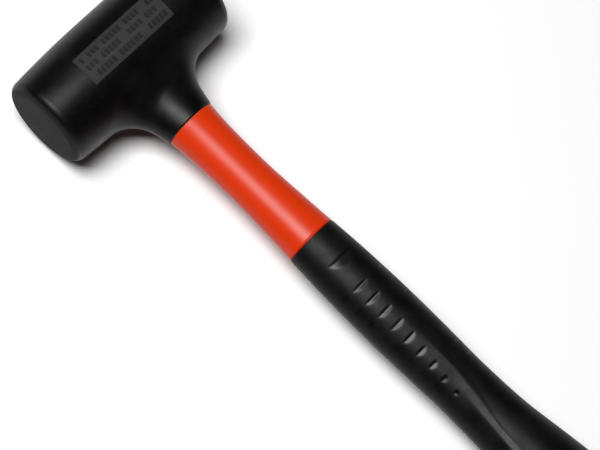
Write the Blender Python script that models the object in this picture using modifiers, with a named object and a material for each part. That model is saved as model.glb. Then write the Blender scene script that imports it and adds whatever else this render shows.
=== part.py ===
"""A dead blow mallet: a moulded head with a steel canister of loose shot, on a cored handle.

Every piece is drawn in the mallet's own axes, which the empty "mallet_axes" carries: the head lies
along X, the handle along +Y and the head's marked side is up. The empty then lays the mallet on a
bench, where it rests on the barrel of its head and on the flare of its butt. Units are metres.
"""

import math

import bmesh
import bpy
from mathutils import Vector

# --- Driving dimensions -------------------------------------------------------------------------

FIT_GAP = 0.0003

# The moulded head.
HEAD_LENGTH = 0.104
HEAD_RADIUS = 0.0254
FACE_RADIUS = 0.0239
CROWN_LAND = 0.008
CROWN_POWER = 1.8
RIM_RADIUS = 0.0050
NECK_SIDE_FILLET = 0.0135
NECK_TOP_FILLET = 0.0090
NECK_ROOT = 0.0300
COLLAR_END = 0.0469
COLLAR_HALF_WIDTH = 0.0141
NECK_TAPER = 0.225
COLLAR_CHAMFER = 0.0005

# The handle. A section is an oval, with its long way across the head's own direction of travel.
OVAL_RATIO = 0.84
SLEEVE_END = 0.1270
BUTT_END = 0.3020

# The canister inside the head.
CANISTER_LENGTH = 0.0840
CANISTER_RADIUS = 0.0205
CANISTER_WALL = 0.0015
CAP_THICKNESS = 0.0025
CAP_LIP = 0.0012
PLUG_RADIUS = 0.0040
PLUG_SOCKET_RADIUS = 0.0018
PLUG_SOCKET_SIDES = 6

# The core of the handle and what holds it.
ROD_RADIUS = 0.00635
ROD_END = 0.2860
ROD_CHAMFER = 0.0008
SADDLE_RADIUS = 0.0095
SADDLE_START = 0.0120
SADDLE_END = 0.0400
PIN_RADIUS = 0.0020
PIN_PLACES = (0.0280, 0.0350)
COLLAR_RING_RADIUS = 0.0092
COLLAR_RING_PLACE = 0.2620
COLLAR_RING_LENGTH = 0.0080

# The loose steel shot. Each slice is one layer of balls, as thin as the steel in it would be solid.
SHOT_TRAVEL = 0.0080
SHOT_SLICES = 12
SHOT_PACKING = 0.61
SHOT_LEVEL = 0.69

# Facets.
HEAD_SIDES = 48
HANDLE_SIDES = 40
ROUND_SIDES = 32
SMALL_SIDES = 20
ARC_STEPS = 5
CROWN_STEPS = 4
SHOT_ARC_STEPS = 36

# --- Outlines of the handle: distance along it and half width, through which a smooth curve runs --

SLEEVE_OUTLINE = (
    (0.0469, 0.01365),
    (0.0520, 0.01312),
    (0.0600, 0.01255),
    (0.0710, 0.01220),
    (0.0870, 0.01208),
    (0.0970, 0.01238),
    (0.1100, 0.01300),
    (0.1200, 0.01348),
    (0.1270, 0.01390),
)
GRIP_OUTLINE = (
    (0.1270, 0.01395),
    (0.1380, 0.01462),
    (0.1510, 0.01521),
    (0.1650, 0.01559),
    (0.1830, 0.01573),
    (0.1990, 0.01555),
    (0.2130, 0.01523),
    (0.2220, 0.01502),
    (0.2320, 0.01508),
    (0.2450, 0.01543),
    (0.2530, 0.01590),
    (0.2670, 0.01745),
    (0.2810, 0.01912),
    (0.2880, 0.01985),
    (0.2945, 0.02020),
)
BUTT_ROUNDING = 0.0075
NECK_STATIONS = (
    0.0080, 0.0110, 0.0135, 0.0160, 0.0180, 0.0200, 0.0215, 0.0230, 0.0242,
    0.0252, 0.0264, 0.0280, 0.0300, 0.0330, 0.0365, 0.0410, 0.0464,
)
NECK_REACH = 0.0340
NECK_SEARCH_STEP = 0.0005
NECK_HALVINGS = 30
NECK_INSET = 0.0003

# --- Scene and objects --------------------------------------------------------------------------

for old in list(bpy.data.objects):
    bpy.data.objects.remove(old, do_unlink=True)

PARTS = bpy.data.collections.new("dead_blow_mallet")
CUTTERS = bpy.data.collections.new("cutters")
for group in (PARTS, CUTTERS):
    bpy.context.scene.collection.children.link(group)

AXES = bpy.data.objects.new("mallet_axes", None)
PARTS.objects.link(AXES)

ALONG_HEAD = (0.0, math.pi / 2, 0.0)
ALONG_HANDLE = (-math.pi / 2, 0.0, 0.0)
UPRIGHT = (0.0, 0.0, 0.0)


def material(name, colour, roughness, metallic=0.0):
    made = bpy.data.materials.new(name)
    made.use_nodes = True
    made.diffuse_color = (*colour, 1.0)
    shader = made.node_tree.nodes["Principled BSDF"]
    shader.inputs["Base Color"].default_value = (*colour, 1.0)
    shader.inputs["Roughness"].default_value = roughness
    shader.inputs["Metallic"].default_value = metallic
    return made


URETHANE = material("black_urethane", (0.012, 0.012, 0.014), 0.42)
SLEEVE_PLASTIC = material("orange_plastic", (0.70, 0.045, 0.006), 0.28)
GRIP_RUBBER = material("black_rubber", (0.016, 0.016, 0.017), 0.62)
STEEL = material("canister_steel", (0.42, 0.42, 0.43), 0.38, 1.0)
PIN_STEEL = material("pin_steel", (0.30, 0.30, 0.32), 0.30, 1.0)
SHOT_STEEL = material("shot_steel", (0.34, 0.34, 0.35), 0.33, 1.0)
FIBREGLASS = material("fibreglass", (0.62, 0.56, 0.38), 0.40)


def add_piece(name, mesh, surface=None, place=(0, 0, 0), turn=UPRIGHT, parent=AXES):
    """Adds a mesh as a part when it has a surface, or else as a cutter."""
    piece = bpy.data.objects.new(name, mesh)
    piece.location = place
    piece.rotation_euler = turn
    piece.parent = parent
    if surface:
        mesh.materials.append(surface)
        PARTS.objects.link(piece)
    else:
        piece.hide_render = True
        piece.display_type = "WIRE"
        CUTTERS.objects.link(piece)
    return piece


def mesh_of(name, points, edges, faces):
    mesh = bpy.data.meshes.new(name)
    mesh.from_pydata(points, edges, faces)
    return mesh


def turned(name, profile, sides, closed=False):
    """The mesh of a profile of (radius, height) turned about Z, which runs down its outer side."""
    points = [(radius, 0.0, height) for radius, height in profile]
    edges = [(i, i + 1) for i in range(len(points) - 1)]
    if closed:
        edges.append((len(points) - 1, 0))
    guide = bpy.data.objects.new(name, mesh_of(name, points, edges, []))
    CUTTERS.objects.link(guide)
    screw = guide.modifiers.new("turn", "SCREW")
    screw.axis = "Z"
    screw.steps = sides
    screw.render_steps = sides
    screw.use_merge_vertices = True
    screw.merge_threshold = 0.00001
    mesh = evaluated_mesh(guide)
    bpy.data.objects.remove(guide, do_unlink=True)
    mesh.name = name
    return mesh


def cylinder(name, radius, low, high, sides=ROUND_SIDES):
    """The mesh of a cylinder about Z, from one height to another."""
    mesh = bpy.data.meshes.new(name)
    shape = bmesh.new()
    bmesh.ops.create_cone(
        shape, cap_ends=True, segments=sides, radius1=radius, radius2=radius, depth=high - low
    )
    bmesh.ops.translate(shape, verts=shape.verts, vec=(0, 0, (low + high) / 2))
    shape.to_mesh(mesh)
    shape.free()
    return mesh


def lofted(name, rings):
    """The mesh of a skin over rings of equally many points, closed at both ends by a flat face."""
    sides = len(rings[0])
    points = [point for ring in rings for point in ring]
    faces = [tuple(range(sides))]
    for level in range(len(rings) - 1):
        first = level * sides
        for i in range(sides):
            j = (i + 1) % sides
            faces.append((first + j, first + i, first + sides + i, first + sides + j))
    faces.append(tuple(reversed(range(len(points) - sides, len(points)))))
    return mesh_of(name, points, [], faces)


def evaluated_mesh(piece):
    bpy.context.view_layer.update()
    graph = bpy.context.evaluated_depsgraph_get()
    return bpy.data.meshes.new_from_object(piece.evaluated_get(graph))


def boolean(piece, operation, *others):
    for other in others:
        step = piece.modifiers.new(other.name, "BOOLEAN")
        step.operation = operation
        step.object = other
        step.solver = "EXACT"


def settle(piece, sharp_angle=35.0):
    """Turns the modifiers' result into the piece's own mesh, and shades its round faces smooth."""
    mesh = evaluated_mesh(piece)
    piece.modifiers.clear()
    piece.data = mesh
    mesh.shade_smooth()
    mesh.set_sharp_from_angle(angle=math.radians(sharp_angle))
    return piece


# --- Outlines -----------------------------------------------------------------------------------


def smooth_curve(knots, samples_per_span=2):
    """Points along a Catmull-Rom curve through the knots."""
    curve = []
    for i in range(len(knots) - 1):
        before = Vector(knots[max(i - 1, 0)])
        start = Vector(knots[i])
        end = Vector(knots[i + 1])
        after = Vector(knots[min(i + 2, len(knots) - 1)])
        for step in range(samples_per_span):
            t = step / samples_per_span
            curve.append(
                0.5
                * (
                    2 * start
                    + (end - before) * t
                    + (2 * before - 5 * start + 4 * end - after) * t**2
                    + (3 * start - before - 3 * end + after) * t**3
                )
            )
    curve.append(Vector(knots[-1]))
    return [tuple(point) for point in curve]


def arc(centre, radius, start, end, steps=ARC_STEPS):
    """Points on an arc, as (centre + radius * cos, centre + radius * sin), angles in degrees."""
    points = []
    for step in range(steps + 1):
        angle = math.radians(start + (end - start) * step / steps)
        points.append((centre[0] + radius * math.cos(angle), centre[1] + radius * math.sin(angle)))
    return points


def oval_ring(along, half_width, sides=HANDLE_SIDES):
    ring = []
    for i in range(sides):
        angle = 2 * math.pi * i / sides
        ring.append(
            (half_width * math.cos(angle), along, OVAL_RATIO * half_width * math.sin(angle))
        )
    return ring


def crown(x):
    """The barrel's radius at a distance x from its middle: straight on its land, then crowned."""
    reach = HEAD_LENGTH / 2 - RIM_RADIUS - CROWN_LAND
    beyond = max(abs(x) - CROWN_LAND, 0.0) / reach
    return HEAD_RADIUS - (HEAD_RADIUS - FACE_RADIUS) * beyond**CROWN_POWER


def neck_half_width(along):
    return COLLAR_HALF_WIDTH + NECK_TAPER * (COLLAR_END - max(along, NECK_ROOT))


# --- The head ------------------------------------------------------------------------------------


def barrel_mesh():
    half = HEAD_LENGTH / 2
    straight = half - RIM_RADIUS
    flat = FACE_RADIUS - RIM_RADIUS
    profile = [(0.0, half)] + arc((flat, straight), RIM_RADIUS, 90, 0)
    reach = straight - CROWN_LAND
    heights = [straight - reach * step / CROWN_STEPS for step in range(1, CROWN_STEPS + 1)]
    for height in heights + [-height for height in reversed(heights)]:
        profile.append((crown(height), height))
    profile += arc((flat, -straight), RIM_RADIUS, 0, -90) + [(0.0, -half)]
    return turned("barrel", profile, HEAD_SIDES)


def neck_excess(radius, along, angle):
    """Above zero outside the neck and its fillet, below zero inside them."""
    x = radius * math.cos(angle)
    z = radius * math.sin(angle)
    from_barrel = math.hypot(along, z) - crown(x) + NECK_INSET
    width = neck_half_width(along)
    oval = 1 / math.hypot(math.cos(angle) / width, math.sin(angle) / (OVAL_RATIO * width))
    from_neck = radius - oval
    fillet = NECK_TOP_FILLET + (NECK_SIDE_FILLET - NECK_TOP_FILLET) * math.cos(angle) ** 2
    corner = math.hypot(max(fillet - from_barrel, 0), max(fillet - from_neck, 0))
    return max(fillet, min(from_barrel, from_neck)) - corner


def neck_radius(along, angle):
    """How far out the neck's skin lies, found by halving, or the reach where the barrel hides it."""
    high = COLLAR_HALF_WIDTH / 2
    while high < NECK_REACH and neck_excess(high, along, angle) < 0:
        high += NECK_SEARCH_STEP
    if high >= NECK_REACH:
        return NECK_REACH
    low = high - NECK_SEARCH_STEP
    for _ in range(NECK_HALVINGS):
        middle = (low + high) / 2
        if neck_excess(middle, along, angle) < 0:
            low = middle
        else:
            high = middle
    return low


def neck_mesh():
    rings = []
    for along in NECK_STATIONS:
        ring = []
        for i in range(HEAD_SIDES):
            angle = 2 * math.pi * i / HEAD_SIDES
            radius = neck_radius(along, angle)
            ring.append((radius * math.cos(angle), along, radius * math.sin(angle)))
        rings.append(ring)
    rings.append(oval_ring(COLLAR_END, COLLAR_HALF_WIDTH - COLLAR_CHAMFER, HEAD_SIDES))
    return lofted("neck", rings)


def make_head_shell():
    """One moulding: the barrel, and the neck that swells out of it and ends in a collar."""
    shell = add_piece("head_shell", barrel_mesh(), URETHANE, turn=ALONG_HEAD)
    neck = add_piece("neck_form", neck_mesh())
    half = CANISTER_LENGTH / 2 + FIT_GAP
    cavity = cylinder("cavity", CANISTER_RADIUS + FIT_GAP, -half, half, HEAD_SIDES)
    cavity = add_piece("cavity_cutter", cavity, turn=ALONG_HEAD)
    socket = cylinder("socket_bore", SADDLE_RADIUS + FIT_GAP, 0.0, SADDLE_END + FIT_GAP)
    socket = add_piece("socket_bore_cutter", socket, turn=ALONG_HANDLE)
    bore = cylinder("rod_bore", ROD_RADIUS + FIT_GAP, 0.0, 2 * COLLAR_END)
    bore = add_piece("rod_bore_cutter", bore, turn=ALONG_HANDLE)
    boolean(shell, "UNION", neck)
    boolean(shell, "DIFFERENCE", cavity, socket, bore)
    settle(shell)


# --- The canister --------------------------------------------------------------------------------


def cap_inner_face():
    return CANISTER_LENGTH / 2 - CAP_LIP - CAP_THICKNESS - FIT_GAP


def make_canister():
    half = CANISTER_LENGTH / 2
    inner = CANISTER_RADIUS - CANISTER_WALL
    profile = [(CANISTER_RADIUS, half), (CANISTER_RADIUS, -half), (inner, -half), (inner, half)]
    tube = turned("canister_tube", profile, HEAD_SIDES, closed=True)
    settle(add_piece("canister_tube", tube, STEEL, turn=ALONG_HEAD))
    make_cap("canister_cap_near", 1, PLUG_RADIUS + FIT_GAP)
    make_cap("canister_cap_far", -1, 0.0)
    make_fill_plug()


def make_cap(name, side, hole):
    """A pressed disc with a lip that stands out along the tube's wall, with or without a hole."""
    rim = CANISTER_RADIUS - CANISTER_WALL - FIT_GAP
    low = cap_inner_face()
    top = low + CAP_THICKNESS
    lip_top = top + CAP_LIP
    lip = rim - CANISTER_WALL
    profile = [(hole, top), (lip, top), (lip, lip_top), (rim, lip_top), (rim, low), (hole, low)]
    mesh = turned(name, profile, HEAD_SIDES, closed=hole > 0)
    settle(add_piece(name, mesh, STEEL, turn=(0.0, side * math.pi / 2, 0.0)))


def make_fill_plug():
    """The screw that closes the hole through which the shot was poured."""
    low = cap_inner_face()
    high = low + CAP_THICKNESS
    plug = add_piece(
        "fill_plug", cylinder("fill_plug", PLUG_RADIUS, low, high), PIN_STEEL, turn=ALONG_HEAD
    )
    socket = cylinder(
        "plug_socket", PLUG_SOCKET_RADIUS, (low + high) / 2, high + CAP_THICKNESS, PLUG_SOCKET_SIDES
    )
    boolean(plug, "DIFFERENCE", add_piece("plug_socket_cutter", socket, turn=ALONG_HEAD))
    settle(plug)


# --- The core of the handle ----------------------------------------------------------------------


def make_core():
    """The fibreglass rod, its steel saddle on the canister, the cross pins and the end ring."""
    start = CANISTER_RADIUS + 2 * FIT_GAP
    edge = ROD_RADIUS - ROD_CHAMFER
    profile = [
        (0.0, ROD_END),
        (edge, ROD_END),
        (ROD_RADIUS, ROD_END - ROD_CHAMFER),
        (ROD_RADIUS, start),
        (0.0, start),
    ]
    rod = turned("core_rod", profile, ROUND_SIDES)
    rod = add_piece("core_rod", rod, FIBREGLASS, turn=ALONG_HANDLE)
    profile = [
        (SADDLE_RADIUS, SADDLE_END),
        (SADDLE_RADIUS, SADDLE_START),
        (ROD_RADIUS + FIT_GAP, SADDLE_START),
        (ROD_RADIUS + FIT_GAP, SADDLE_END),
    ]
    saddle = turned("socket_saddle", profile, ROUND_SIDES, closed=True)
    saddle = add_piece("socket_saddle", saddle, STEEL, turn=ALONG_HANDLE)
    half = CANISTER_LENGTH / 2
    seat = cylinder("saddle_seat", CANISTER_RADIUS + FIT_GAP, -half, half, HEAD_SIDES)
    boolean(saddle, "DIFFERENCE", add_piece("saddle_seat_cutter", seat, turn=ALONG_HEAD))
    reach = math.sqrt(SADDLE_RADIUS**2 - PIN_RADIUS**2) - FIT_GAP
    for number, place in enumerate(PIN_PLACES, start=1):
        drill = 2 * SADDLE_RADIUS
        hole = cylinder("pin_hole", PIN_RADIUS + FIT_GAP, -drill, drill, SMALL_SIDES)
        hole = add_piece(f"pin_hole_cutter_{number}", hole, place=(0, place, 0))
        boolean(rod, "DIFFERENCE", hole)
        boolean(saddle, "DIFFERENCE", hole)
        pin = cylinder("socket_pin", PIN_RADIUS, -reach, reach, SMALL_SIDES)
        settle(add_piece(f"socket_pin_{number}", pin, PIN_STEEL, place=(0, place, 0)))
    settle(rod)
    settle(saddle)
    half = COLLAR_RING_LENGTH / 2
    inner = ROD_RADIUS + FIT_GAP
    profile = [(COLLAR_RING_RADIUS, half), (COLLAR_RING_RADIUS, -half), (inner, -half), (inner, half)]
    ring = turned("rod_collar", profile, ROUND_SIDES, closed=True)
    place = (0, COLLAR_RING_PLACE, 0)
    settle(add_piece("rod_collar", ring, STEEL, place=place, turn=ALONG_HANDLE))


# --- The handle's skins --------------------------------------------------------------------------


def make_shaft_sleeve():
    curve = smooth_curve(SLEEVE_OUTLINE)
    curve[0] = (curve[0][0] + FIT_GAP, curve[0][1])
    rings = [oval_ring(along, half_width) for along, half_width in curve]
    sleeve = add_piece("shaft_sleeve", lofted("shaft_sleeve", rings), SLEEVE_PLASTIC)
    bore = cylinder("sleeve_bore", ROD_RADIUS + FIT_GAP, 0.0, 2 * SLEEVE_END)
    boolean(sleeve, "DIFFERENCE", add_piece("sleeve_bore_cutter", bore, turn=ALONG_HANDLE))
    settle(sleeve)


def grip_curve():
    """The grip's outline, with the butt rounded over after its widest place."""
    curve = smooth_curve(GRIP_OUTLINE)
    curve[0] = (curve[0][0] + FIT_GAP, curve[0][1])
    widest_place, widest = curve[-1]
    flat = widest - BUTT_ROUNDING
    for across, along in arc((flat, widest_place), BUTT_ROUNDING, 0, 90)[1:]:
        curve.append((along, across))
    return curve


def make_grip():
    rings = [oval_ring(along, half_width) for along, half_width in grip_curve()]
    grip = add_piece("grip", lofted("grip", rings), GRIP_RUBBER)
    bore = cylinder("grip_bore", ROD_RADIUS + FIT_GAP, SLEEVE_END / 2, ROD_END + FIT_GAP)
    bore = add_piece("grip_bore_cutter", bore, turn=ALONG_HANDLE)
    half = COLLAR_RING_LENGTH / 2 + FIT_GAP
    pocket = cylinder("ring_pocket", COLLAR_RING_RADIUS + FIT_GAP, -half, half)
    place = (0, COLLAR_RING_PLACE, 0)
    pocket = add_piece("ring_pocket_cutter", pocket, place=place, turn=ALONG_HANDLE)
    boolean(grip, "DIFFERENCE", bore, pocket)
    settle(grip)


# --- The shot ------------------------------------------------------------------------------------


def make_shot():
    """Slices of the bed of shot, which slides along the canister on its slide's own empty."""
    slide = bpy.data.objects.new("shot_slide_axis", None)
    slide.parent = AXES
    PARTS.objects.link(slide)
    radius = CANISTER_RADIUS - CANISTER_WALL - FIT_GAP
    bed = 2 * (cap_inner_face() - FIT_GAP - SHOT_TRAVEL)
    pitch = bed / SHOT_SLICES
    half = SHOT_PACKING * pitch / 2
    level = math.degrees(math.asin(SHOT_LEVEL))
    outline = arc((0.0, 0.0), radius, 180 - level, 360 + level, SHOT_ARC_STEPS)
    for number in range(1, SHOT_SLICES + 1):
        middle = -bed / 2 + (number - 0.5) * pitch
        rings = [[(x, y, z) for y, z in outline] for x in (middle + half, middle - half)]
        name = f"shot_layer_{number:02d}"
        settle(add_piece(name, lofted(name, rings), SHOT_STEEL, parent=slide))


# --- How the mallet lies -------------------------------------------------------------------------


def lay_down():
    """Tips the mallet until the butt's flare touches the bench on which the barrel rests."""
    tips = []
    for along, half_width in grip_curve():
        depth = OVAL_RATIO * half_width
        span = math.hypot(along, depth)
        tips.append(math.asin(HEAD_RADIUS / span) - math.atan2(depth, along))
    tip = min(tips)
    AXES.rotation_euler = (-tip, 0.0, 0.0)
    butt = BUTT_END * math.cos(tip)
    AXES.location = (0.0, (HEAD_RADIUS - butt) / 2, HEAD_RADIUS)


make_head_shell()
make_canister()
make_core()
make_shaft_sleeve()
make_grip()
make_shot()
lay_down()
bpy.context.view_layer.update()
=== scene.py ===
"""The looks of the dead blow mallet: a moulded urethane head, an orange sleeve and a rubber grip.

Every piece is drawn in the mallet's own axes, in metres: the head along X, the handle along +Y and
the head's marked side up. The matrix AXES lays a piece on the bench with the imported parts.
"""

import math

import bmesh
import bpy
import numpy as np
from mathutils import Matrix, Vector


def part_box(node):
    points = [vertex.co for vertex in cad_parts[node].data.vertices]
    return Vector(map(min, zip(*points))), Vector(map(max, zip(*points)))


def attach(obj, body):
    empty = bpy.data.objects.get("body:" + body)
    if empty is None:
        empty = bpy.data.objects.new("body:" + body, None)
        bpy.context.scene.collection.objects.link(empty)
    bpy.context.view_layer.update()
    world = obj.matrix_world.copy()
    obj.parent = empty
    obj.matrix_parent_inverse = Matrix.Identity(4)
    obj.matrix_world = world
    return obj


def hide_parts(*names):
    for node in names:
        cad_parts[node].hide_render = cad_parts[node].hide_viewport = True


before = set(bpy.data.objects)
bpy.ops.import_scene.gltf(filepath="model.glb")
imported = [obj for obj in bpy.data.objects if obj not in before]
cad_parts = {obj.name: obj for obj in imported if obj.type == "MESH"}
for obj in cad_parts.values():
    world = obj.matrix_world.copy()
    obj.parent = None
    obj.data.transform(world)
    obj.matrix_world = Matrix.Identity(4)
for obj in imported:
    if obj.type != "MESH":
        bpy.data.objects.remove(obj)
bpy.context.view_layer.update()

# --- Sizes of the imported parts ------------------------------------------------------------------

FIT_GAP = 0.0003
HEAD_LENGTH = 0.104
HEAD_RADIUS = 0.0254
FACE_RADIUS = 0.0239
CROWN_LAND = 0.008
CROWN_POWER = 1.8
RIM_RADIUS = 0.0050
NECK_SIDE_FILLET = 0.0135
NECK_ROOT = 0.0300
COLLAR_END = 0.0469
COLLAR_HALF_WIDTH = 0.0141
NECK_TAPER = 0.225
COLLAR_CHAMFER = 0.0005
OVAL_RATIO = 0.84
SLEEVE_END = 0.1270
BUTT_END = 0.3020
BUTT_ROUNDING = 0.0075
CANISTER_LENGTH = 0.0840
CANISTER_RADIUS = 0.0205
ROD_RADIUS = 0.00635
ROD_END = 0.2860
SADDLE_RADIUS = 0.0095
SADDLE_END = 0.0400
RING_RADIUS = 0.0092
RING_PLACE = 0.2620
RING_LENGTH = 0.0080
SHOT_LAYERS = 12
SHOT_BED = 0.0594
SHOT_BED_RADIUS = 0.0187
SHOT_LEVEL = 0.69

SLEEVE_OUTLINE = (
    (0.0469, 0.01365),
    (0.0520, 0.01312),
    (0.0600, 0.01255),
    (0.0710, 0.01220),
    (0.0870, 0.01208),
    (0.0970, 0.01238),
    (0.1100, 0.01300),
    (0.1200, 0.01348),
    (0.1270, 0.01390),
)
GRIP_OUTLINE = (
    (0.1270, 0.01395),
    (0.1380, 0.01462),
    (0.1510, 0.01521),
    (0.1650, 0.01559),
    (0.1830, 0.01573),
    (0.1990, 0.01555),
    (0.2130, 0.01523),
    (0.2220, 0.01502),
    (0.2320, 0.01508),
    (0.2450, 0.01543),
    (0.2530, 0.01590),
    (0.2670, 0.01745),
    (0.2810, 0.01912),
    (0.2880, 0.01985),
    (0.2945, 0.02020),
)

# --- Details that only the looks have -----------------------------------------------------------

# The marking panel: rows of cells with a plain bar in each, apart from the blank ones
PANEL_LENGTH = 0.0520
PANEL_WIDTH = 0.0170
PANEL_SHIFT = 0.0009
PANEL_DEPTH = 0.00028
PANEL_WALL = 0.00014
BAR_ROWS = (-0.0050, 0.0, 0.0050)
BAR_HEIGHT = 0.0028
BAR_PITCH = 0.0024
BAR_GAP = 0.0008
BAR_CELLS = 20
BAR_BLANKS = ((5, 6, 13, 19), (0, 4, 9, 10, 16), (2, 3, 8, 14, 18))

# The neck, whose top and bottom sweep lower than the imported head's
NECK_TOP_FILLET = 0.0070
NECK_FOOT = 0.0190
NECK_RISE = 0.0041
NECK_RISE_POWER = 2.5
NECK_BEND = 0.0040

# The part of the barrel's grid that gives way to the neck's own rings
PATCH_HALF_LENGTH = 0.0360
PATCH_HALF_ANGLE = math.radians(69.5)
PATCH_RINGS = 60
PATCH_FOOT_SHARE = 0.98
LEAST_SLOPE_SQUARED = 0.05

BARREL_STEP = 0.0010
BARREL_TURN = math.radians(2.2)
RIM_STEPS = 12
FACE_RINGS = 8
BORE_SIDES = 96

# The grip's scoops
RIB_START = 0.1584
RIB_PITCH = 0.00832
RIB_COUNT = 9
RIB_LENGTH = 0.0046
RIB_DEPTH = 0.00048
WALL_SHARE = 0.28
RIB_BOW = 0.18
RIB_LATE_LOSS = 0.22
RIB_INNER = -0.0018
RIB_INNER_DRIFT = 0.0082
RIB_DRIFT_POWER = 1.6
RIB_OUTER = 0.0082
RIB_OUTER_DRIFT = 0.0010
FIRST_RIB_START = 0.1422
FIRST_RIB_LENGTH = 0.0074
FIRST_RIB_HALF_WIDTH = 0.0078
FIRST_RIB_DEPTH = 1.15 * RIB_DEPTH
FIRST_RIB_BOW = 0.03
FIRST_RIB_POLISH = 0.85
FIRST_RIB_POLISH_ACROSS = (-0.0045, 0.0020)

# The depths and slopes over which a scoop's polish sets in: its floor has it, and its wall hasn't
POLISH_DEPTHS = (0.02, 0.35)
POLISH_SLOPES = (-0.10, 0.06)
RIB_PROBE = 0.0002

# The small hollows along the grip's narrow sides, level with the scoops
SIDE_FROM = 0.0102
SIDE_HEIGHT = 0.0083
SIDE_HALF_WIDTH = 0.0020
SIDE_LENGTH_SHARE = 0.55
SIDE_DEPTH_SHARE = 0.30
SIDE_BOW = 0.25

# The grip's crests
CREST_WIDTH = 0.0030
CREST_SLOPE = 0.26
CREST_POLISH = 0.6
CREST_STARTS = (0.190, 0.220)
CREST_ENDS = (0.270, 0.292)
CREST_HEIGHT = 0.00004
CREST_CLIMB = 0.00022
CREST_CLIMBS = (0.215, 0.255)
CREST_POLISH_STARTS = (0.212, 0.252)
CREST_EDGE = 0.0009
CREST_EARLY_EDGE = 0.0030
CREST_SHARPENS = (0.226, 0.252)
CREST_FADE = 0.0042
GROOVE_DEPTH = 0.00018
GROOVE_WIDTH = 0.00045
GROOVE_PLACE = 0.62 * CREST_WIDTH
GROOVE_STARTS = (0.238, 0.256)

# Where the crest's middle is off the grip's middle line, at distances from the head's middle
CREST_PATH = (
    (0.1900, 0.0014),
    (0.2050, 0.0016),
    (0.2186, 0.0021),
    (0.2287, 0.0034),
    (0.2407, 0.0051),
    (0.2511, 0.0063),
    (0.2618, 0.0075),
    (0.2750, 0.0089),
    (0.2950, 0.0105),
)

BALL_RADIUS = 0.00225
BALL_PITCH = 2.06 * BALL_RADIUS

HANDLE_SIDES = 192
HANDLE_STEP = 0.0009
SLEEVE_STEP = 0.0008
RIB_STEP = 0.00042
SLEEVE_SOFTENING = 0.00025
GRIP_SOFTENING = 0.0004
BUTT_STEPS = 14
BUTT_RINGS = 8
PARTING_HEIGHT = 0.00006
PARTING_SPREAD = 0.02
LIP_LENGTH = 0.00027
LIP_DEPTH = 0.0006

FLOOR_HALF = 3.0
FLOOR_LEVEL = -0.0002

BODY = "mallet"


def lying_axes():
    """The matrix from the mallet's own axes to the row frame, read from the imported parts."""
    head = sum(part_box("canister_tube"), Vector()) / 2
    ring = sum(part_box("rod_collar"), Vector()) / 2
    along_handle = (ring - head).normalized()
    along_head = Vector((1.0, 0.0, 0.0))
    up = along_head.cross(along_handle)
    axes = Matrix((along_head, along_handle, up)).transposed().to_4x4()
    axes.translation = head
    return axes


AXES = lying_axes()


# --- Meshes --------------------------------------------------------------------------------------


def mesh_object(name, points, faces, materials, smooth_angle=35.0):
    mesh = bpy.data.meshes.new(name)
    mesh.from_pydata([tuple(point) for point in points], [], faces)
    for item in materials:
        mesh.materials.append(item)
    piece = bpy.data.objects.new(name, mesh)
    bpy.context.scene.collection.objects.link(piece)
    tidy_mesh(mesh, smooth_angle)
    return piece


def tidy_mesh(mesh, smooth_angle):
    """Welds the seams, points every face outwards and shades the round ones smooth."""
    shape = bmesh.new()
    shape.from_mesh(mesh)
    bmesh.ops.remove_doubles(shape, verts=shape.verts, dist=0.000001)
    bmesh.ops.recalc_face_normals(shape, faces=shape.faces)
    shape.to_mesh(mesh)
    shape.free()
    mesh.shade_smooth()
    mesh.set_sharp_from_angle(angle=math.radians(smooth_angle))


def grid_faces(rows, columns, first=0):
    """Quads over rows of points, each row closed on itself."""
    faces = []
    for row in range(rows - 1):
        start = first + row * columns
        for column in range(columns):
            other = (column + 1) % columns
            faces.append(
                (start + column, start + other, start + columns + other, start + columns + column)
            )
    return faces


def chain_of_rings(name, rings, materials, closed=False, smooth_angle=35.0):
    """A skin over rings of equally many points. A closed chain meets itself, an open one is capped."""
    sides = len(rings[0])
    points = [point for ring in rings for point in ring]
    faces = grid_faces(len(rings), sides)
    if closed:
        last = (len(rings) - 1) * sides
        for i in range(sides):
            j = (i + 1) % sides
            faces.append((last + i, last + j, j, i))
    else:
        for start, ring in ((0, rings[0]), (len(points) - sides, rings[-1])):
            centre = len(points)
            points.append(sum((Vector(point) for point in ring), Vector()) / sides)
            for i in range(sides):
                faces.append((centre, start + i, start + (i + 1) % sides))
    return mesh_object(name, points, faces, materials, smooth_angle)


def place(piece, body, nodes):
    """Lays a piece on the bench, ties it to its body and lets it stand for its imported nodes."""
    piece.data.transform(AXES)
    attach(piece, body)
    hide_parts(*nodes)


def spline(knots):
    """A function through the knots whose slope and bend are continuous (a natural cubic)."""
    x = np.array([knot[0] for knot in knots])
    y = np.array([knot[1] for knot in knots])
    h = np.diff(x)
    count = len(x)
    system = np.eye(count)
    target = np.zeros(count)
    for i in range(1, count - 1):
        system[i, i - 1 : i + 2] = (h[i - 1], 2 * (h[i - 1] + h[i]), h[i])
        target[i] = 6 * ((y[i + 1] - y[i]) / h[i] - (y[i] - y[i - 1]) / h[i - 1])
    bend = np.linalg.solve(system, target)

    def value(at):
        at = np.clip(np.asarray(at, float), x[0], x[-1])
        i = np.clip(np.searchsorted(x, at, side="right") - 1, 0, count - 2)
        left = at - x[i]
        right = x[i + 1] - at
        return (
            (bend[i] * right**3 + bend[i + 1] * left**3) / (6 * h[i])
            + (y[i] / h[i] - bend[i] * h[i] / 6) * right
            + (y[i + 1] / h[i] - bend[i + 1] * h[i] / 6) * left
        )

    return value


def smooth_step(low, high, value):
    t = np.clip((value - low) / (high - low), 0.0, 1.0)
    return t * t * (3 - 2 * t)


CREST_MIDDLE = spline(CREST_PATH)


# --- Materials -----------------------------------------------------------------------------------


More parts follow.
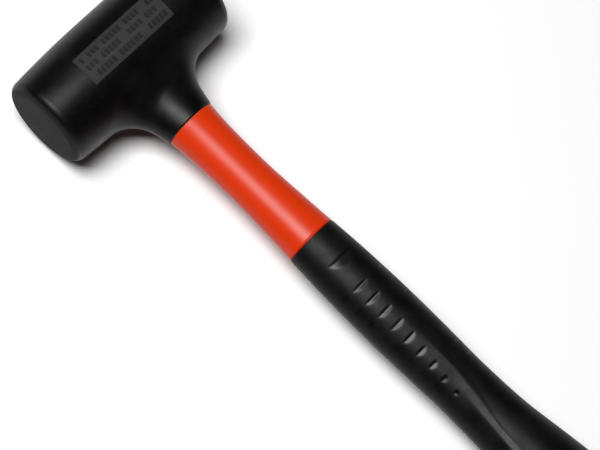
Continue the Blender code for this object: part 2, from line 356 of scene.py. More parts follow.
class Surface:
    """A Principled material and the few kinds of node that the materials here are made of."""

    def __init__(self, name, roughness, metallic=0.0, **constants):
        self.material = bpy.data.materials.new(name)
        self.material.use_nodes = True
        self.tree = self.material.node_tree
        self.shader = self.tree.nodes["Principled BSDF"]
        self.shader.inputs["Roughness"].default_value = roughness
        self.shader.inputs["Metallic"].default_value = metallic
        for socket, value in constants.items():
            self.shader.inputs[socket.replace("_", " ")].default_value = value
        lying = self.tree.nodes.new("ShaderNodeMapping")
        lying.vector_type = "TEXTURE"
        lying.inputs["Location"].default_value = AXES.translation
        lying.inputs["Rotation"].default_value = AXES.to_euler()
        coordinates = self.tree.nodes.new("ShaderNodeTexCoord")
        self.link(coordinates.outputs["Object"], lying, "Vector")
        self.where = lying.outputs["Vector"]

    def link(self, output, node, socket):
        self.tree.links.new(output, node.inputs[socket])

    def stretched(self, scale):
        node = self.tree.nodes.new("ShaderNodeMapping")
        node.inputs["Scale"].default_value = scale
        self.link(self.where, node, "Vector")
        return node.outputs["Vector"]

    def noise(self, scale, detail=3.0, roughness=0.5, vector=None):
        node = self.tree.nodes.new("ShaderNodeTexNoise")
        node.inputs["Scale"].default_value = scale
        node.inputs["Detail"].default_value = detail
        node.inputs["Roughness"].default_value = roughness
        self.link(vector or self.where, node, "Vector")
        return node.outputs["Fac"]

    def math(self, operation, first, second=None):
        node = self.tree.nodes.new("ShaderNodeMath")
        node.operation = operation
        for socket, value in ((0, first), (1, second)):
            if isinstance(value, (int, float)):
                node.inputs[socket].default_value = value
            elif value is not None:
                self.link(value, node, socket)
        return node.outputs[0]

    def spread(self, value, low, high, to_low=0.0, to_high=1.0):
        node = self.tree.nodes.new("ShaderNodeMapRange")
        node.interpolation_type = "SMOOTHSTEP"
        node.inputs["From Min"].default_value = low
        node.inputs["From Max"].default_value = high
        node.inputs["To Min"].default_value = to_low
        node.inputs["To Max"].default_value = to_high
        self.link(value, node, "Value")
        return node.outputs["Result"]

    def noted(self, name):
        node = self.tree.nodes.new("ShaderNodeAttribute")
        node.attribute_name = name
        return node.outputs["Fac"]

    def axis(self, name):
        node = self.tree.nodes.new("ShaderNodeSeparateXYZ")
        self.link(self.where, node, "Vector")
        return node.outputs[name]

    def mix(self, factor, first, second):
        node = self.tree.nodes.new("ShaderNodeMix")
        node.data_type = "RGBA"
        self.link(factor, node, "Factor")
        for socket, value in ((6, first), (7, second)):
            if isinstance(value, tuple):
                node.inputs[socket].default_value = (*value, 1.0)
            else:
                self.link(value, node, socket)
        return node.outputs[2]

    def bump(self, height, depth, strength=1.0, below=None):
        node = self.tree.nodes.new("ShaderNodeBump")
        node.inputs["Strength"].default_value = strength
        node.inputs["Distance"].default_value = depth
        self.link(height, node, "Height")
        if below is not None:
            self.link(below, node, "Normal")
        return node.outputs["Normal"]

    def finish(self, colour, roughness, normal):
        self.link(colour, self.shader, "Base Color")
        self.link(roughness, self.shader, "Roughness")
        self.link(normal, self.shader, "Normal")
        return self.material


def urethane():
    """Satin black moulded urethane, with scuffed striking faces and the odd rub on its edges."""
    look = Surface("black_urethane", 0.42, Specular_IOR_Level=0.18)
    end = look.spread(look.math("ABSOLUTE", look.axis("X")), 0.0500, 0.0518)
    mottle = look.noise(70.0, 4.0, 0.6)
    rubs = look.spread(look.noise(260.0, 6.0, 0.62), 0.60, 0.78)
    tone = look.spread(mottle, 0.35, 0.7)
    colour = look.mix(tone, (0.0010, 0.0010, 0.0013), (0.0022, 0.0022, 0.0027))
    colour = look.mix(look.math("MULTIPLY", rubs, 0.20), colour, (0.015, 0.015, 0.017))
    scuffed = look.mix(look.noise(900.0, 6.0, 0.7), (0.006, 0.006, 0.007), (0.015, 0.015, 0.017))
    colour = look.mix(end, colour, scuffed)
    roughness = look.spread(mottle, 0.3, 0.75, 0.34, 0.44)
    roughness = look.math("ADD", roughness, look.math("MULTIPLY", rubs, 0.12))
    roughness = look.math("ADD", roughness, look.math("MULTIPLY", end, 0.42))
    normal = look.bump(look.noise(140.0, 2.0), 0.0004, 0.10)
    normal = look.bump(look.noise(2600.0, 2.0), 0.00004, 0.5, normal)
    seam = look.spread(look.math("ABSOLUTE", look.axis("Z")), 0.0, 0.00035, 1.0, 0.0)
    normal = look.bump(seam, 0.00008, 0.6, normal)
    return look.finish(colour, roughness, normal)


def stippled_urethane(name, dark, pale):
    """The matt urethane of the marking panel, stippled by the mould."""
    look = Surface(name, 0.62, Specular_IOR_Level=0.2)
    grain = look.noise(3200.0, 3.0, 0.6)
    colour = look.mix(grain, dark, pale)
    roughness = look.spread(grain, 0.3, 0.7, 0.55, 0.72)
    normal = look.bump(grain, 0.00010, 0.9)
    return look.finish(colour, roughness, normal)


def orange_plastic():
    """Glossy orange plastic with faint flow marks and a fine orange-peel."""
    look = Surface("orange_plastic", 0.30, Specular_IOR_Level=0.21)
    flow = look.noise(60.0, 3.0, 0.5, look.stretched((1.0, 0.25, 1.0)))
    speck = look.spread(look.noise(1500.0, 2.0), 0.62, 0.74)
    colour = look.mix(flow, (0.52, 0.025, 0.0016), (0.58, 0.033, 0.0024))
    colour = look.mix(look.math("MULTIPLY", speck, 0.20), colour, (0.42, 0.022, 0.004))
    roughness = look.spread(flow, 0.3, 0.7, 0.28, 0.35)
    normal = look.bump(look.noise(220.0, 2.0), 0.0003, 0.06)
    normal = look.bump(look.noise(1700.0, 2.0), 0.00003, 0.35, normal)
    return look.finish(colour, roughness, normal)


def black_rubber():
    """Grained grip rubber, a little dusty, and smoother where the mould was polished."""
    look = Surface("black_rubber", 0.5, Specular_IOR_Level=0.15)
    polish = look.noted("polish")
    grain = look.noise(2400.0, 4.0, 0.65)
    patch = look.noise(90.0, 4.0, 0.6)
    dust = look.spread(look.noise(500.0, 6.0, 0.7), 0.55, 0.80)
    tone = look.spread(patch, 0.3, 0.7)
    colour = look.mix(tone, (0.0012, 0.0012, 0.0014), (0.0024, 0.0024, 0.0026))
    colour = look.mix(look.math("MULTIPLY", dust, 0.25), colour, (0.018, 0.018, 0.018))
    roughness = look.spread(patch, 0.3, 0.7, 0.42, 0.52)
    roughness = look.math("ADD", roughness, look.math("MULTIPLY", dust, 0.12))
    roughness = look.math("SUBTRACT", roughness, look.math("MULTIPLY", polish, 0.24))
    normal = look.bump(look.noise(300.0, 3.0), 0.0002, 0.15)
    rough_part = look.math("SUBTRACT", 1.0, look.math("MULTIPLY", polish, 0.95))
    grain = look.math("MULTIPLY", look.math("SUBTRACT", grain, 0.5), rough_part)
    normal = look.bump(grain, 0.00007, 0.6, normal)
    return look.finish(colour, roughness, normal)


def metal(name, pale, dark, roughness, scale):
    """Steel with the fine lines of drawing or tumbling, and a little oil stain."""
    look = Surface(name, roughness, 1.0)
    lines = look.noise(900.0, 4.0, 0.6, look.stretched(scale))
    stain = look.spread(look.noise(130.0, 4.0, 0.6), 0.45, 0.75)
    colour = look.mix(lines, dark, pale)
    colour = look.mix(look.math("MULTIPLY", stain, 0.4), colour, tuple(0.5 * part for part in dark))
    rough = look.spread(lines, 0.3, 0.7, roughness - 0.07, roughness + 0.10)
    normal = look.bump(lines, 0.00003, 0.5)
    return look.finish(colour, rough, normal)


def fibreglass():
    """Pultruded fibreglass: pale resin with strands that run along the rod."""
    look = Surface("fibreglass", 0.4)
    strands = look.noise(1400.0, 3.0, 0.6, look.stretched((1.0, 0.03, 1.0)))
    colour = look.mix(strands, (0.46, 0.40, 0.24), (0.72, 0.66, 0.47))
    rough = look.spread(strands, 0.3, 0.7, 0.34, 0.50)
    normal = look.bump(strands, 0.00005, 0.6)
    return look.finish(colour, rough, normal)


URETHANE = urethane()
PANEL_GROUND = stippled_urethane("panel_ground", (0.014, 0.014, 0.015), (0.026, 0.026, 0.028))
PANEL_BARS = stippled_urethane("panel_bars", (0.004, 0.004, 0.0045), (0.010, 0.010, 0.011))
ORANGE = orange_plastic()
RUBBER = black_rubber()
CANISTER_STEEL = metal("canister_steel", (0.50, 0.50, 0.51), (0.34, 0.34, 0.35), 0.36, (0.06, 1.0, 1.0))
PIN_STEEL = metal("pin_steel", (0.36, 0.36, 0.38), (0.22, 0.22, 0.24), 0.30, (1.0, 1.0, 1.0))
SHOT_STEEL = metal("shot_steel", (0.42, 0.42, 0.43), (0.24, 0.24, 0.25), 0.34, (1.0, 1.0, 1.0))
FIBREGLASS = fibreglass()


# --- The head ------------------------------------------------------------------------------------


def crown(x):
    """The barrel's radius at a distance x from its middle: straight on its land, then crowned."""
    reach = HEAD_LENGTH / 2 - RIM_RADIUS - CROWN_LAND
    beyond = np.maximum(np.abs(x) - CROWN_LAND, 0.0) / reach
    return HEAD_RADIUS - (HEAD_RADIUS - FACE_RADIUS) * beyond**CROWN_POWER


def neck_half_width(along):
    """The neck keeps its width up to its root, then tapers to the collar, with a soft bend between."""
    beyond = along - NECK_ROOT
    tapering = (beyond + np.hypot(beyond, NECK_BEND)) / 2
    return COLLAR_HALF_WIDTH + NECK_TAPER * (COLLAR_END - NECK_ROOT - tapering)


def neck_half_height(along):
    """The neck's top and bottom lines leave the collar level and sweep up to the barrel."""
    beyond = along - NECK_FOOT
    covered = (beyond + np.hypot(beyond, NECK_BEND)) / 2
    left = np.maximum(COLLAR_END - NECK_FOOT - covered, 0.0) / (COLLAR_END - NECK_FOOT)
    return OVAL_RATIO * COLLAR_HALF_WIDTH + NECK_RISE * left**NECK_RISE_POWER


def head_excess(points):
    """How far points lie outside the barrel and neck, which a fillet joins. Below zero is inside."""
    x, along, z = points.T
    angle = np.arctan2(z, x)
    from_barrel = np.hypot(along, z) - crown(x)
    width = neck_half_width(along)
    oval = 1 / np.hypot(np.cos(angle) / width, np.sin(angle) / neck_half_height(along))
    from_neck = np.hypot(x, z) - oval
    fillet = NECK_TOP_FILLET + (NECK_SIDE_FILLET - NECK_TOP_FILLET) * np.cos(angle) ** 2
    corner = np.hypot(np.maximum(fillet - from_barrel, 0), np.maximum(fillet - from_neck, 0))
    return np.maximum(fillet, np.minimum(from_barrel, from_neck)) - corner


def onto_head(points, rounds=8, probe=0.00001):
    """Moves points to the head's skin, by steps along the slope of their distance from it."""
    for _ in range(rounds):
        excess = head_excess(points)
        slope = np.zeros_like(points)
        for i in range(3):
            shift = np.zeros(3)
            shift[i] = probe
            slope[:, i] = (head_excess(points + shift) - head_excess(points - shift)) / (2 * probe)
        points = points - slope * (excess / np.maximum((slope**2).sum(1), LEAST_SLOPE_SQUARED))[:, None]
    return points


def lines_with_walls(edges):
    """Grid lines on both sides of each edge, a wall's width apart."""
    return [edge + side * PANEL_WALL / 2 for edge in edges for side in (-1, 1)]


def filled(lines, step):
    """The lines, with more between them wherever they are further apart than the step."""
    lines = sorted(lines)
    dense = []
    for start, end in zip(lines, lines[1:]):
        parts = max(1, math.ceil((end - start) / step))
        dense += [start + (end - start) * i / parts for i in range(parts)]
    return np.array(dense + [lines[-1]])


def bar_edges():
    """Where each cell's bar starts and ends along the panel."""
    start = -BAR_CELLS * BAR_PITCH / 2
    return [
        (start + cell * BAR_PITCH + BAR_GAP / 2, start + (cell + 1) * BAR_PITCH - BAR_GAP / 2)
        for cell in range(BAR_CELLS)
    ]


def inside(value, low, high):
    """One between two edges, zero beyond them, and sloping across a wall's width."""
    rise = np.clip((value - low) / PANEL_WALL + 0.5, 0, 1)
    fall = np.clip((high - value) / PANEL_WALL + 0.5, 0, 1)
    return np.minimum(rise, fall)


def panel_relief(x, across):
    """How deep the skin sinks in the marking panel, whose rows of plain bars stand level again."""
    across = across - PANEL_SHIFT
    sunk = np.minimum(
        inside(x, -PANEL_LENGTH / 2, PANEL_LENGTH / 2),
        inside(across, -PANEL_WIDTH / 2, PANEL_WIDTH / 2),
    )
    bars = np.zeros_like(x)
    for row, blanks in zip(BAR_ROWS, BAR_BLANKS):
        in_row = inside(across, row - BAR_HEIGHT / 2, row + BAR_HEIGHT / 2)
        for cell, (start, end) in enumerate(bar_edges()):
            if cell not in blanks:
                bars = np.maximum(bars, np.minimum(in_row, inside(x, start, end)))
    return -PANEL_DEPTH * (sunk - bars)


def barrel_lines():
    """The grid's lines along the barrel and round it, measured from +Y towards the marked side."""
    straight = HEAD_LENGTH / 2 - RIM_RADIUS
    edges = [-PANEL_LENGTH / 2, PANEL_LENGTH / 2]
    for pair in bar_edges():
        edges += pair
    ends = [-straight, -PATCH_HALF_LENGTH, PATCH_HALF_LENGTH, straight]
    along = filled(lines_with_walls(edges) + ends, BARREL_STEP)
    edges = [-PANEL_WIDTH / 2, PANEL_WIDTH / 2]
    for row in BAR_ROWS:
        edges += [row - BAR_HEIGHT / 2, row + BAR_HEIGHT / 2]
    quarter = math.pi / 2
    panel = [quarter + (across + PANEL_SHIFT) / HEAD_RADIUS for across in lines_with_walls(edges)]
    turns = [-PATCH_HALF_ANGLE, PATCH_HALF_ANGLE, 2 * math.pi - PATCH_HALF_ANGLE]
    around = filled(panel + turns, BARREL_TURN)
    return along, around


def barrel_points(x, angle):
    """Points on the barrel, sunk where the panel is."""
    across = HEAD_RADIUS * (angle - math.pi / 2)
    radius = crown(x) + panel_relief(x, across)
    return np.stack([x, radius * np.cos(angle), radius * np.sin(angle)], -1)


def end_rings(side, around):
    """Rings over the rounded rim and across the flat striking face, to its middle."""
    straight = HEAD_LENGTH / 2 - RIM_RADIUS
    flat = FACE_RADIUS - RIM_RADIUS
    profile = []
    for step in range(1, RIM_STEPS + 1):
        turn = step / RIM_STEPS * math.pi / 2
        profile.append((straight + RIM_RADIUS * math.sin(turn), flat + RIM_RADIUS * math.cos(turn)))
    for step in range(1, FACE_RINGS + 1):
        profile.append((HEAD_LENGTH / 2, flat * (1 - step / (FACE_RINGS + 1))))
    return [
        [(side * x, radius * math.cos(turn), radius * math.sin(turn)) for turn in around]
        for x, radius in profile
    ]


def patch_boundary(along, around):
    """The edge of the patch round the neck, as (x, angle) in turn, from the +X side towards +Z."""
    xs = along[np.abs(along) <= PATCH_HALF_LENGTH + 1e-9]
    turns = around[np.abs(around) <= PATCH_HALF_ANGLE + 1e-9]
    start = int(np.argmin(np.abs(turns)))
    edge = [(PATCH_HALF_LENGTH, turn) for turn in turns[start:-1]]
    edge += [(x, PATCH_HALF_ANGLE) for x in xs[::-1][:-1]]
    edge += [(-PATCH_HALF_LENGTH, turn) for turn in turns[::-1][:-1]]
    edge += [(x, -PATCH_HALF_ANGLE) for x in xs[:-1]]
    edge += [(PATCH_HALF_LENGTH, turn) for turn in turns[:start]]
    return np.array(edge)


def oval_points(along, half_width, angle):
    height = OVAL_RATIO * half_width * np.sin(angle)
    return np.stack([half_width * np.cos(angle), along + 0 * angle, height], -1)


def neck_patch(along, around):
    """Rings from the patch's edge on the barrel, through the fillet and up the neck to its collar."""
    edge = patch_boundary(along, around)
    x, turn = edge.T
    angle = np.arctan2(turn / PATCH_HALF_ANGLE, x / PATCH_HALF_LENGTH)
    foot = oval_points(0.0, neck_half_width(NECK_ROOT) * PATCH_FOOT_SHARE, angle)
    foot[:, 1] = np.sqrt(crown(foot[:, 0]) ** 2 - foot[:, 2] ** 2)
    rim = barrel_points(x, turn)
    chamfer = COLLAR_END - COLLAR_CHAMFER
    top = oval_points(chamfer, COLLAR_HALF_WIDTH, angle)
    rings = [rim]
    for step in range(1, PATCH_RINGS):
        t = step / PATCH_RINGS
        ring = rim * (1 - t) ** 2 + foot * 2 * t * (1 - t) + top * t**2
        rings.append(onto_head(ring))
    rings.append(top)
    rings.append(oval_points(COLLAR_END, COLLAR_HALF_WIDTH - COLLAR_CHAMFER, angle))
    return rings


def head_points_and_faces():
    along, around = barrel_lines()
    around = around[:-1]
    grid_x, grid_turn = np.meshgrid(along, around, indexing="ij")
    points = list(barrel_points(grid_x, grid_turn).reshape(-1, 3))
    columns = len(around)
    faces = []
    for row in range(len(along) - 1):
        middle = (along[row] + along[row + 1]) / 2
        for column in range(columns):
            other = (column + 1) % columns
            turn = around[column]
            if abs(middle) < PATCH_HALF_LENGTH and turn < PATCH_HALF_ANGLE - 1e-6:
                continue
            start = row * columns
            faces.append(
                (start + column, start + other, start + columns + other, start + columns + column)
            )
    for side, row in ((1, len(along) - 1), (-1, 0)):
        rim = [points[row * columns + column] for column in range(columns)]
        rings = [rim] + end_rings(side, around)
        first = len(points)
        points += [point for ring in rings for point in ring]
        faces += grid_faces(len(rings), columns, first)
        centre = len(points)
        points.append((side * HEAD_LENGTH / 2, 0.0, 0.0))
        last = centre - columns
        faces += [(centre, last + i, last + (i + 1) % columns) for i in range(columns)]
    rings = neck_patch(along, around)
    first = len(points)
    points += [point for ring in rings for point in ring]
    faces += grid_faces(len(rings), len(rings[0]), first)
    centre = len(points)
    points.append((0.0, COLLAR_END, 0.0))
    last = centre - len(rings[0])
    count = len(rings[0])
    faces += [(centre, last + i, last + (i + 1) % count) for i in range(count)]
    return points, faces


def bore_cutter(name, radius, low, high, axis):
    """A closed cylinder along the head's or the handle's axis."""
    rings = []
    for at in (low, high):
        turns = [2 * math.pi * i / BORE_SIDES for i in range(BORE_SIDES)]
        if axis == "head":
            rings.append([(at, radius * math.cos(turn), radius * math.sin(turn)) for turn in turns])
        else:
            rings.append([(radius * math.cos(turn), at, radius * math.sin(turn)) for turn in turns])
    return chain_of_rings(name, rings, [])


def cut(piece, cutters):
    """Takes the cutters' shapes out of a piece for good."""
    for cutter in cutters:
        step = piece.modifiers.new(cutter.name, "BOOLEAN")
        step.operation = "DIFFERENCE"
        step.object = cutter
        step.solver = "MANIFOLD"
    bpy.context.view_layer.update()
    graph = bpy.context.evaluated_depsgraph_get()
    mesh = bpy.data.meshes.new_from_object(piece.evaluated_get(graph))
    piece.modifiers.clear()
    piece.data = mesh
    for cutter in cutters:
        bpy.data.objects.remove(cutter, do_unlink=True)


def paint_panel(mesh):
    """Gives the panel's sunken ground its stippled material and its bars a darker one."""
    for face in mesh.polygons:
        x, along, z = face.center
        across = along + PANEL_SHIFT
        if z > 0 and abs(x) < PANEL_LENGTH / 2 and abs(across) < PANEL_WIDTH / 2:
            depth = crown(x) - math.hypot(along, z)
            if depth < 2 * PANEL_DEPTH:
                face.material_index = 1 if depth > 0.6 * PANEL_DEPTH else 2


def make_head():
    points, faces = head_points_and_faces()
    looks = [URETHANE, PANEL_GROUND, PANEL_BARS]
    head = mesh_object("head_moulding", points, faces, looks)
    half = CANISTER_LENGTH / 2 + FIT_GAP
    cut(
        head,
        [
            bore_cutter("cavity", CANISTER_RADIUS + FIT_GAP, -half, half, "head"),
            bore_cutter("socket", SADDLE_RADIUS + FIT_GAP, 0.0, SADDLE_END + FIT_GAP, "handle"),
            bore_cutter("rod_bore", ROD_RADIUS + FIT_GAP, 0.0, 2 * COLLAR_END, "handle"),
        ],
    )
    paint_panel(head.data)
    head.data.shade_smooth()
    head.data.set_sharp_from_angle(angle=math.radians(35.0))
    place(head, BODY, ["head_shell"])


# --- The handle ----------------------------------------------------------------------------------


def ring_angles():
    return 2 * math.pi * np.arange(HANDLE_SIDES) / HANDLE_SIDES


def bore_ring(along, radius):
    angle = ring_angles()
    return np.stack([radius * np.cos(angle), along + 0 * angle, radius * np.sin(angle)], -1)


def make_sleeve():
    """The orange sleeve, with its mould's parting line and softened end edges.

    A lower lip at each end reaches into the joint, so that nothing shows through it.
    """
    width = spline(SLEEVE_OUTLINE)
    angle = ring_angles()
    parting = PARTING_HEIGHT * np.exp(-((np.sin(angle) / PARTING_SPREAD) ** 2))
    start = SLEEVE_OUTLINE[0][0] + FIT_GAP
    softening = SLEEVE_SOFTENING
    rings = [bore_ring(start - LIP_LENGTH, ROD_RADIUS + FIT_GAP)]
    for along in (start - LIP_LENGTH, start):
        rings.append(oval_points(along, width(start) - LIP_DEPTH, angle))
    for along in filled([start, start + softening, SLEEVE_END - softening, SLEEVE_END], SLEEVE_STEP):
        edge = max(start + softening - along, along - SLEEVE_END + softening, 0.0)
        rings.append(oval_points(along, width(along) - edge + parting, angle))
    for along in (SLEEVE_END, SLEEVE_END + LIP_LENGTH):
        rings.append(oval_points(along, width(SLEEVE_END) - LIP_DEPTH, angle))
    rings.append(bore_ring(SLEEVE_END + LIP_LENGTH, ROD_RADIUS + FIT_GAP))
    sleeve = chain_of_rings("sleeve_moulding", rings, [ORANGE], closed=True, smooth_angle=50.0)
    place(sleeve, BODY, ["shaft_sleeve"])


def scoop(along, across, start, half_width, length, depth, bow):
    """A lens-shaped scoop: a steep wall on its head side, and a floor that rises towards the butt.

    The wall bows a part of the scoop's length towards the butt on its way out to the tips.
    """
    u = np.clip(np.abs(across) / half_width, 0.0, 1.0)
    open_part = np.sqrt(1 - u**2)
    first = start + bow * length * (1 - open_part)
    t = np.clip((along - first) / ((1 - bow) * length * open_part + 1e-6), 0.0, 1.0)
    wall = smooth_step(0.0, WALL_SHARE, t)
    climb = np.clip((t - WALL_SHARE) / (1 - WALL_SHARE), 0, 1)
    floor = 1 - (smooth_step(0.0, 1.0, climb) + climb) / 2
    return -depth * (1 - u**2) * wall * floor


def rib_relief(along, angle, half_width):
    """The grip's scoops: a wide first one, then a row that narrows and drifts off the middle.

    Each scoop of the row has small hollows beside it on the narrow sides.
    """
    x = half_width * np.cos(angle)
    z = OVAL_RATIO * half_width * np.sin(angle)
    first = (FIRST_RIB_START, FIRST_RIB_HALF_WIDTH, FIRST_RIB_LENGTH, FIRST_RIB_DEPTH, FIRST_RIB_BOW)
    relief = scoop(along, x, *first)
    for number in range(RIB_COUNT):
        start = RIB_START + number * RIB_PITCH
        late = number / (RIB_COUNT - 1)
        inner = RIB_INNER + RIB_INNER_DRIFT * late**RIB_DRIFT_POWER
        outer = RIB_OUTER + RIB_OUTER_DRIFT * late
        half = (outer - inner) / 2
        depth = RIB_DEPTH * (1 - RIB_LATE_LOSS * late**2)
        relief = relief + scoop(along, x - inner - half, start, half, RIB_LENGTH, depth, RIB_BOW)
        side = (SIDE_HALF_WIDTH, SIDE_LENGTH_SHARE * RIB_LENGTH, SIDE_DEPTH_SHARE * depth, SIDE_BOW)
        low = scoop(along, np.abs(z) - SIDE_HEIGHT, start, *side)
        relief = relief + np.where(np.abs(x) > SIDE_FROM, low, 0.0)
    return relief


def crest_relief(along, angle, half_width):
    """A flat band on each broad side that leaves the row of scoops and runs out over the flare.

    It keeps one slope all the way, fades out past both edges and has a thin groove along one of them.
    """
    x = half_width * np.cos(angle)
    middle = CREST_MIDDLE(along)
    nearest = middle + np.clip(x - middle, -CREST_WIDTH / 2, CREST_WIDTH / 2)
    oval_drop = np.sqrt(half_width**2 - middle**2) - np.sqrt(half_width**2 - nearest**2)
    height = CREST_HEIGHT + CREST_CLIMB * smooth_step(*CREST_CLIMBS, along)
    band = height - CREST_SLOPE * (nearest - middle) + OVAL_RATIO * oval_drop
    soft = CREST_EDGE + CREST_EARLY_EDGE * (1 - smooth_step(*CREST_SHARPENS, along))
    fade = smooth_step(-1.0, 0.0, (x - middle + CREST_WIDTH / 2) / soft)
    fade = fade * (1 - smooth_step(0.0, CREST_FADE, x - middle - CREST_WIDTH / 2))
    present = smooth_step(*CREST_STARTS, along) * (1 - smooth_step(*CREST_ENDS, along))
    groove = np.exp(-(((x - middle + GROOVE_PLACE) / GROOVE_WIDTH) ** 2))
    groove = GROOVE_DEPTH * groove * smooth_step(*GROOVE_STARTS, along)
    return present * (band * fade - groove)


def grip_skin(along, width, angle):
    """A ring of the grip: its oval, with its relief along the oval's own normals."""
    relief = rib_relief(along, angle, width) + crest_relief(along, angle, width)
    ring = oval_points(along, width, angle)
    normal = np.stack([OVAL_RATIO * np.cos(angle), 0 * angle, np.sin(angle)], -1)
    normal /= np.linalg.norm(normal, axis=1)[:, None]
    return ring + normal * relief[:, None]


def note_polish(mesh, width):
    """Notes at each point how far the mould polished it: most on the scoops' floors, less on crests."""
    x, along, z = np.array([point.co for point in mesh.vertices]).T
    angle = np.arctan2(z / OVAL_RATIO, x)
    half_width = width(along)
    outside = np.hypot(x, z / OVAL_RATIO) > 0.9 * half_width
    sunk = -rib_relief(along, angle, half_width) / RIB_DEPTH
    hollow = smooth_step(*POLISH_DEPTHS, sunk)
    before, after = (rib_relief(along + side * RIB_PROBE, angle, half_width) for side in (-1, 1))
    hollow = hollow * smooth_step(*POLISH_SLOPES, (after - before) / (2 * RIB_PROBE))
    first = FIRST_RIB_POLISH * smooth_step(*FIRST_RIB_POLISH_ACROSS, x)
    hollow = np.where(along < RIB_START - RIB_LENGTH, first, 1.0) * hollow
    off_crest = np.abs(half_width * np.cos(angle) - CREST_MIDDLE(along))
    crest = CREST_POLISH * (1 - smooth_step(CREST_WIDTH / 3, 0.7 * CREST_WIDTH, off_crest))
    crest = crest * smooth_step(*CREST_POLISH_STARTS, along)
    crest = crest * (1 - smooth_step(*CREST_ENDS, along))
    polish = mesh.attributes.new("polish", "FLOAT", "POINT")
    polish.data.foreach_set("value", np.where(outside, np.maximum(hollow, crest), 0.0))


def make_grip():
    """The rubber grip, from its bore and the pocket for the rod's ring out to its skin and butt."""
    width = spline(GRIP_OUTLINE)
    angle = ring_angles()
    start = GRIP_OUTLINE[0][0] + FIT_GAP
    widest_place, widest = GRIP_OUTLINE[-1]
    bore = ROD_RADIUS + FIT_GAP
    pocket = RING_RADIUS + FIT_GAP
    pocket_half = RING_LENGTH / 2 + FIT_GAP
    ribs_end = RIB_START + RIB_COUNT * RIB_PITCH
    rings = []
    for at in (ROD_END + FIT_GAP, RING_PLACE + pocket_half):
        rings.append(bore_ring(at, bore))
    for at in (RING_PLACE + pocket_half, RING_PLACE - pocket_half):
        rings.append(bore_ring(at, pocket))
    for at in (RING_PLACE - pocket_half, start):
        rings.append(bore_ring(at, bore))
    softening = GRIP_SOFTENING
    stations = [start, start + softening, start + 2 * softening, FIRST_RIB_START - softening]
    fine = filled([stations[-1], ribs_end], RIB_STEP)
    coarse = filled([ribs_end, widest_place], HANDLE_STEP)
    for along in list(filled(stations, HANDLE_STEP)) + list(fine[1:]) + list(coarse[1:]):
        edge = 0.5 * max(start + softening - along, 0.0)
        rings.append(grip_skin(along, float(width(along)) - edge, angle))
    flat = widest - BUTT_ROUNDING
    for step in range(1, BUTT_STEPS + 1):
        turn = step / BUTT_STEPS * math.pi / 2
        half = flat + BUTT_ROUNDING * math.cos(turn)
        rings.append(oval_points(widest_place + BUTT_ROUNDING * math.sin(turn), half, angle))
    for step in range(1, BUTT_RINGS):
        rings.append(oval_points(BUTT_END, flat * (1 - step / BUTT_RINGS), angle))
    grip = chain_of_rings("grip_moulding", rings, [RUBBER], smooth_angle=60.0)
    note_polish(grip.data, width)
    place(grip, BODY, ["grip"])


# --- What the mouldings hide ---------------------------------------------------------------------


def ball_places(shift):
    """Centres of close-packed balls in one layer of the bed, below the bed's level."""
    pitch = BALL_PITCH
    reach = SHOT_BED_RADIUS - BALL_RADIUS
    rise = pitch * math.sqrt(3) / 2
    places = []
    row = 0
    z = -reach
    while z < SHOT_LEVEL * SHOT_BED_RADIUS:
        offset = (row % 2) * pitch / 2 + shift
        half = math.sqrt(max(reach**2 - z**2, 0.0))
        first = math.ceil((-half - offset) / pitch)
        last = math.floor((half - offset) / pitch)
        places += [(offset + i * pitch, z) for i in range(first, last + 1)]
        row += 1
        z += rise
    return places


def make_shot():
    """Twelve layers of steel balls, each riding on the slide in place of its packed slice."""
    pitch = SHOT_BED / SHOT_LAYERS
    for number in range(1, SHOT_LAYERS + 1):
        middle = -SHOT_BED / 2 + (number - 0.5) * pitch
        shape = bmesh.new()
        for along, z in ball_places((number % 2) * BALL_RADIUS):
            matrix = Matrix.Translation((middle, along, z))
            bmesh.ops.create_uvsphere(
                shape, u_segments=12, v_segments=8, radius=BALL_RADIUS, matrix=matrix
            )
        mesh = bpy.data.meshes.new("shot_balls")
        shape.to_mesh(mesh)
        shape.free()
        mesh.shade_smooth()
        mesh.materials.append(SHOT_STEEL)
        balls = bpy.data.objects.new(f"shot_balls_{number:02d}", mesh)
        bpy.context.scene.collection.objects.link(balls)
        place(balls, "shot", [f"shot_layer_{number:02d}"])


def dress_packed_parts():
    """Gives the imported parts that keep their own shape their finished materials."""
    looks = {
        "canister_tube": CANISTER_STEEL,
        "canister_cap_near": CANISTER_STEEL,
        "canister_cap_far": CANISTER_STEEL,
        "socket_saddle": CANISTER_STEEL,
        "rod_collar": CANISTER_STEEL,
        "fill_plug": PIN_STEEL,
        "socket_pin_1": PIN_STEEL,
        "socket_pin_2": PIN_STEEL,
        "core_rod": FIBREGLASS,
    }
    for node, look in looks.items():
        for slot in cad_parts[node].material_slots:
            slot.material = look


# --- Studio --------------------------------------------------------------------------------------


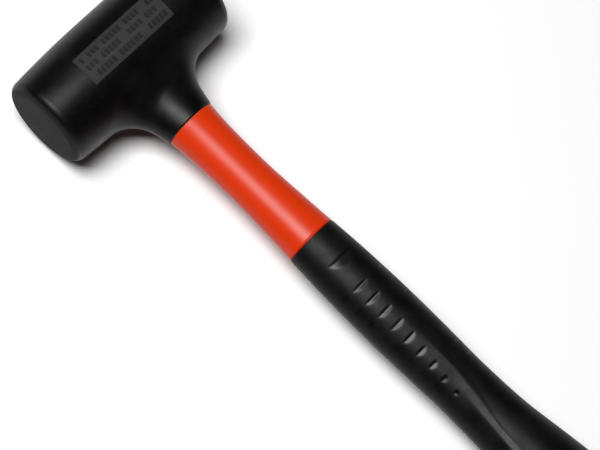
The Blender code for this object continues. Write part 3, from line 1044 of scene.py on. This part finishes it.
def make_floor():
    look = Surface("pale_floor", 0.7)
    tone = look.noise(6.0, 2.0)
    colour = look.mix(tone, (0.82, 0.82, 0.82), (0.85, 0.85, 0.85))
    roughness = look.spread(tone, 0.3, 0.7, 0.66, 0.74)
    normal = look.bump(look.noise(400.0, 2.0), 0.0001, 0.1)
    half = FLOOR_HALF
    low = FLOOR_LEVEL
    corners = [(-half, -half, low), (half, -half, low), (half, half, low), (-half, half, low)]
    floor = mesh_object("floor", corners, [(0, 1, 2, 3)], [look.finish(colour, roughness, normal)])


def add_light(name, direction, distance, size, power, target):
    """A soft rectangular light, placed in the mallet's own axes and turned towards the target."""
    lamp = bpy.data.lights.new(name, "AREA")
    lamp.shape = "RECTANGLE"
    lamp.size = size[0]
    lamp.size_y = size[1]
    lamp.energy = power
    light = bpy.data.objects.new(name, lamp)
    bpy.context.scene.collection.objects.link(light)
    spot = AXES @ (Vector(target) + distance * Vector(direction).normalized())
    aim = (AXES @ Vector(target)) - spot
    light.matrix_world = Matrix.Translation(spot) @ aim.to_track_quat("-Z", "Y").to_matrix().to_4x4()


def make_studio():
    make_floor()
    middle = (0.0, 0.10, 0.0)
    add_light("key", (0.185, -0.24, 0.95), 1.5, (0.62, 0.85), 32.0, middle)
    world = bpy.data.worlds.new("studio")
    bpy.context.scene.world = world
    bpy.context.scene.view_settings.view_transform = "Standard"
    world.use_nodes = True
    background = world.node_tree.nodes["Background"]
    background.inputs["Color"].default_value = (1.0, 1.0, 1.0, 1.0)
    background.inputs["Strength"].default_value = 0.03


def make_camera():
    """The camera looks down on the marked side from beyond the near face."""
    camera = bpy.data.objects.new("camera", bpy.data.cameras.new("camera"))
    bpy.context.scene.collection.objects.link(camera)
    right = Vector((-0.68306, 0.71566, 0.14578))
    back = Vector((0.30814, 0.10143, 0.94592))
    back = back.normalized()
    right = (right - right.dot(back) * back).normalized()
    up = back.cross(right)
    own = Matrix((right, up, back)).transposed().to_4x4()
    own.translation = Vector((0.37749, 0.24299, 1.16377))
    camera.matrix_world = AXES @ own
    camera.data.lens = 156.0
    camera.data.sensor_width = 36.0
    camera.data.clip_start = 0.05
    bpy.context.scene.camera = camera


make_head()
make_sleeve()
make_grip()
make_shot()
dress_packed_parts()
make_studio()
make_camera()
